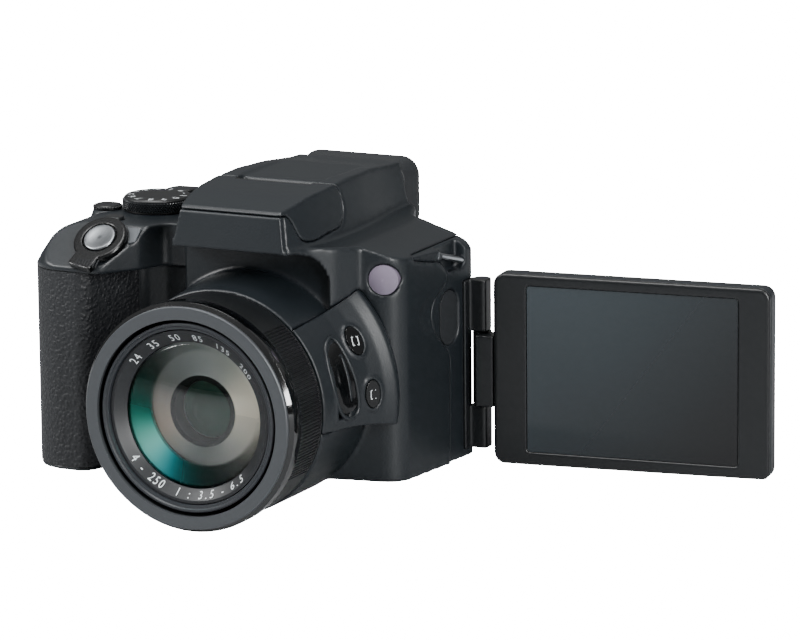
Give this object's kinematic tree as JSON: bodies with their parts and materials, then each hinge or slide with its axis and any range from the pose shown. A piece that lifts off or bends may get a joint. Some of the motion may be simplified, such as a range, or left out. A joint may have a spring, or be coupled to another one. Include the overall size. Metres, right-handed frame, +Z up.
{
  "type": "bridge camera",
  "caption": "Bridge camera with a fixed long-zoom lens, pop-up flash, viewfinder hump, moulded grip and a side-hinged screen swung out to face forward.",
  "frame": {"origin": "mouth of the tripod socket in the base, below the lens axis", "axes": "+X towards the side that carries the screen's hinge, the lens looks along -Y, +Z up"},
  "size_m": [0.2089, 0.1165, 0.0934],
  "materials": {
    "body_plastic": "fine grained",
    "lid_plastic": "fine grained",
    "smooth_plastic": "smooth",
    "grip_rubber": "leather grain",
    "soft_rubber": "smooth",
    "key_plastic": "smooth",
    "gloss_black": "polished",
    "grey_ring": "satin",
    "spun_metal": "spun",
    "lug_steel": "bright",
    "bush_brass": "turned",
    "plated_steel": "plated",
    "chassis_metal": "pressed",
    "board_green": "coated",
    "battery_shell": "moulded",
    "card_shell": "moulded",
    "coated_glass": "coated",
    "clear_glass": "polished",
    "lamp_lens": "frosted",
    "display_black": "polished",
    "reflector": "bright"
  },
  "bodies": {
    "body": {"front_shell": "body_plastic", "top_cover": "body_plastic", "deck_cover": "body_plastic", "rear_shell": "body_plastic", "side_cover": "body_plastic", "grip_skin": "grip_rubber", "base_plate": "smooth_plastic", "tripod_bush": "bush_brass", "base_screws": "plated_steel", "front_plate": "smooth_plastic", "assist_lamp": "lamp_lens", "barrel_pad": "body_plastic", "finger_rest": "soft_rubber", "strap_lugs": "lug_steel", "sockets": "smooth_plastic", "battery": "battery_shell", "memory_card": "card_shell", "chassis": "chassis_metal", "sensor_board": "board_green", "outer_barrel": "smooth_plastic", "barrel_ring": "gloss_black", "eyecup": "soft_rubber", "eyepiece_lens": "clear_glass", "scale_plate": "smooth_plastic", "hinge_bracket": "smooth_plastic"},
    "lens_outer": {"zoom_tube_outer": "smooth_plastic", "front_ring": "grey_ring"},
    "lens_inner": {"zoom_tube_inner": "smooth_plastic", "name_ring": "smooth_plastic", "front_glass": "coated_glass", "inner_cone": "smooth_plastic", "second_glass": "coated_glass"},
    "flash": {"flash_lid": "lid_plastic", "flash_tube": "reflector", "flash_window": "clear_glass"},
    "arm": {"screen_arm": "smooth_plastic"},
    "screen": {"screen_frame": "smooth_plastic", "screen_back": "smooth_plastic", "screen_glass": "display_black", "screen_module": "display_black"},
    "mode_wheel": {"mode_dial": "key_plastic"},
    "front_wheel": {"control_wheel": "key_plastic"},
    "lever": {"zoom_lever": "key_plastic"},
    "shutter": {"shutter_button": "spun_metal"},
    "dioptre": {"dioptre_dial": "key_plastic"},
    "microphone_flap": {"mic_door": "soft_rubber"},
    "terminal_flap": {"terminal_door": "body_plastic"},
    "battery_flap": {"battery_door": "smooth_plastic"},
    "deck_button_key": {"deck_button": "key_plastic"},
    "power_button_key": {"power_button": "key_plastic"},
    "movie_button_key": {"movie_button": "key_plastic"},
    "nav_pad_key": {"nav_pad": "key_plastic"},
    "set_button_key": {"set_button": "key_plastic"},
    "lock_button_key": {"lock_button": "key_plastic"},
    "point_button_key": {"point_button": "key_plastic"},
    "play_button_key": {"play_button": "key_plastic"},
    "info_button_key": {"info_button": "key_plastic"},
    "menu_button_key": {"menu_button": "key_plastic"},
    "pad_button_upper_key": {"pad_button_upper": "key_plastic"},
    "pad_button_lower_key": {"pad_button_lower": "key_plastic"}
  },
  "joints": [
    {"name": "zoom_outer", "type": "slide", "parent": "body", "child": "lens_outer", "axis": [0, -1, 0], "range_m": [0, 0.034]},
    {"name": "zoom_inner", "type": "slide", "parent": "lens_outer", "child": "lens_inner", "axis": [0, -1, 0], "range_m": [0, 0.03]},
    {"name": "flash_lift", "type": "hinge", "parent": "body", "child": "flash", "pos_m": [0, -0.0195, 0.0803], "axis": [-1, 0, 0], "range_deg": [0, 50]},
    {"name": "screen_swing", "type": "hinge", "parent": "body", "child": "arm", "pos_m": [0.0494, 0.0206, 0.0281], "axis": [0, 0, 1], "range_deg": [0, 173]},
    {"name": "screen_swivel", "type": "hinge", "parent": "arm", "child": "screen", "pos_m": [0.05557, 0.01793, 0.0281], "axis": [0.9925, 0.1219, 0], "range_deg": [-270, 0]},
    {"name": "mode_turn", "type": "hinge", "parent": "body", "child": "mode_wheel", "pos_m": [-0.0427, -0.0092, 0.0725], "axis": [0, 0, 1], "continuous": true},
    {"name": "front_wheel_turn", "type": "hinge", "parent": "body", "child": "front_wheel", "pos_m": [-0.0569, -0.0143, 0.0725], "axis": [0, 0, 1], "continuous": true},
    {"name": "zoom_lever_turn", "type": "hinge", "parent": "body", "child": "lever", "pos_m": [-0.0454, -0.03872, 0.06762], "axis": [0, -0.618, 0.7862], "range_deg": [-20, 20], "stiffness_Nm_per_rad": 0.02},
    {"name": "shutter_press", "type": "slide", "parent": "body", "child": "shutter", "axis": [0, 0.618, -0.7862], "range_m": [0, 0.0006], "stiffness_N_per_m": 400},
    {"name": "dioptre_turn", "type": "hinge", "parent": "body", "child": "dioptre", "pos_m": [0.0334, 0.0209, 0.0622], "axis": [0, 1, 0], "range_deg": [-150, 150]},
    {"name": "microphone_flap_open", "type": "hinge", "parent": "body", "child": "microphone_flap", "pos_m": [0.04618, 0.01004, 0.0442], "axis": [0, 0, 1], "range_deg": [0, 95]},
    {"name": "terminal_flap_open", "type": "hinge", "parent": "body", "child": "terminal_flap", "pos_m": [-0.06828, 0.0102, 0.034], "axis": [0, 0, 1], "range_deg": [0, 90]},
    {"name": "battery_flap_open", "type": "hinge", "parent": "body", "child": "battery_flap", "pos_m": [-0.0492, 0, 0.001], "axis": [0, -1, 0], "range_deg": [0, 90]},
    {"name": "deck_button_press", "type": "slide", "parent": "body", "child": "deck_button_key", "axis": [0, 0, -1], "range_m": [0, 0.0006], "stiffness_N_per_m": 400},
    {"name": "power_button_press", "type": "slide", "parent": "body", "child": "power_button_key", "axis": [0, 0, -1], "range_m": [0, 0.0006], "stiffness_N_per_m": 400},
    {"name": "movie_button_press", "type": "slide", "parent": "body", "child": "movie_button_key", "axis": [0, 0, -1], "range_m": [0, 0.0006], "stiffness_N_per_m": 400},
    {"name": "nav_pad_press", "type": "slide", "parent": "body", "child": "nav_pad_key", "axis": [0, -1, 0], "range_m": [0, 0.0006], "stiffness_N_per_m": 400},
    {"name": "set_button_press", "type": "slide", "parent": "body", "child": "set_button_key", "axis": [0, -1, 0], "range_m": [0, 0.0006], "stiffness_N_per_m": 400},
    {"name": "lock_button_press", "type": "slide", "parent": "body", "child": "lock_button_key", "axis": [0, -1, 0], "range_m": [0, 0.0006], "stiffness_N_per_m": 400},
    {"name": "point_button_press", "type": "slide", "parent": "body", "child": "point_button_key", "axis": [0, -1, 0], "range_m": [0, 0.0006], "stiffness_N_per_m": 400},
    {"name": "play_button_press", "type": "slide", "parent": "body", "child": "play_button_key", "axis": [0, -1, 0], "range_m": [0, 0.0006], "stiffness_N_per_m": 400},
    {"name": "info_button_press", "type": "slide", "parent": "body", "child": "info_button_key", "axis": [0, -1, 0], "range_m": [0, 0.0006], "stiffness_N_per_m": 400},
    {"name": "menu_button_press", "type": "slide", "parent": "body", "child": "menu_button_key", "axis": [0, -1, 0], "range_m": [0, 0.0006], "stiffness_N_per_m": 400},
    {"name": "pad_button_upper_press", "type": "slide", "parent": "body", "child": "pad_button_upper_key", "axis": [-0.8144, 0.3961, -0.424], "range_m": [0, 0.0006], "stiffness_N_per_m": 400},
    {"name": "pad_button_lower_press", "type": "slide", "parent": "body", "child": "pad_button_lower_key", "axis": [-0.8623, 0.5043, -0.0452], "range_m": [0, 0.0006], "stiffness_N_per_m": 400}
  ],
  "couplings": [
    {"joint": "zoom_inner", "follows": "zoom_outer", "ratio": 0.88235}
  ]
}
